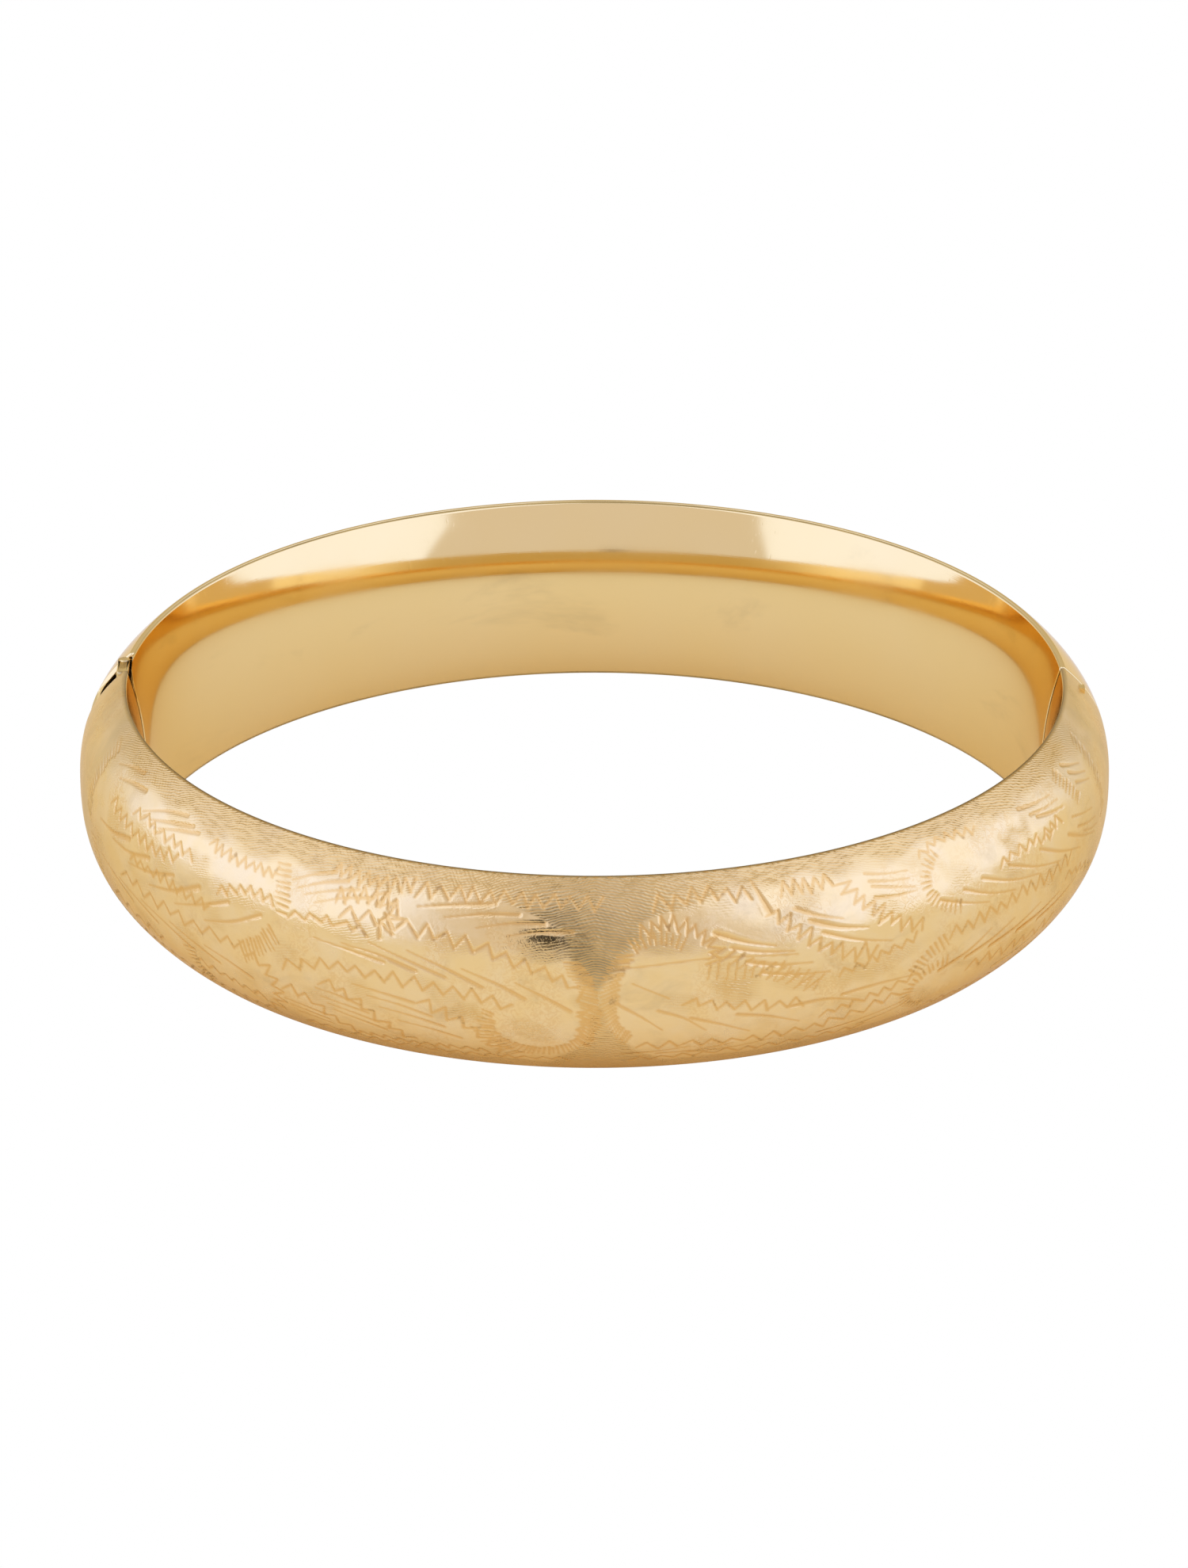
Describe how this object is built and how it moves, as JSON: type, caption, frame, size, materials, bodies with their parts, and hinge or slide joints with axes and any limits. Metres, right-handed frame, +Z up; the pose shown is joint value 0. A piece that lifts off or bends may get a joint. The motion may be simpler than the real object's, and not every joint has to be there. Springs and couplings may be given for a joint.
{
  "type": "hinged bangle bracelet",
  "caption": "Oval hinged bangle of domed hollow gold: engraved front half, plain polished back half, pin hinge at one end and sprung tongue clasp at the other.",
  "frame": {"origin": "under the middle of the oval, in the plane of the lower rim that the bangle stands on", "axes": "+Z up along the wrist, +X towards the clasp, +Y towards the plain back half"},
  "size_m": [0.0648, 0.0582, 0.0129],
  "materials": {
    "engraved_gold": "hand-engraved satin and bright-cut gold",
    "polished_gold": "high polish with fine wear",
    "liner_gold": "polished, lightly scratched",
    "joint_gold": "dull polish, tarnished in the recesses",
    "spring_gold": "brushed"
  },
  "bodies": {
    "front_half": {"front_outer_shell": "engraved_gold", "front_inner_liner": "liner_gold", "front_hinge_end_cap": "joint_gold", "front_clasp_end_cap": "joint_gold", "hinge_ear_top": "joint_gold", "hinge_ear_bottom": "joint_gold", "hinge_pin": "joint_gold", "clasp_box": "joint_gold"},
    "back_half": {"back_outer_shell": "polished_gold", "back_inner_liner": "liner_gold", "back_hinge_end_cap": "joint_gold", "back_clasp_end_cap": "joint_gold", "back_hinge_knuckle": "joint_gold", "tongue_base_leaf": "spring_gold"},
    "release": {"tongue_spring_leaf": "spring_gold", "thumb_piece": "spring_gold"}
  },
  "joints": [
    {"name": "main_hinge", "type": "hinge", "parent": "front_half", "child": "back_half", "pos_m": [-0.02965, 0.00262, 0.0064], "axis": [0, 0, 1], "range_deg": [0, 50]},
    {"name": "clasp_release", "type": "hinge", "parent": "back_half", "child": "release", "pos_m": [0.0295, -0.00602, 0.0047], "axis": [-1, 0, 0], "range_deg": [0, 4.5], "stiffness_Nm_per_rad": 0.2}
  ]
}
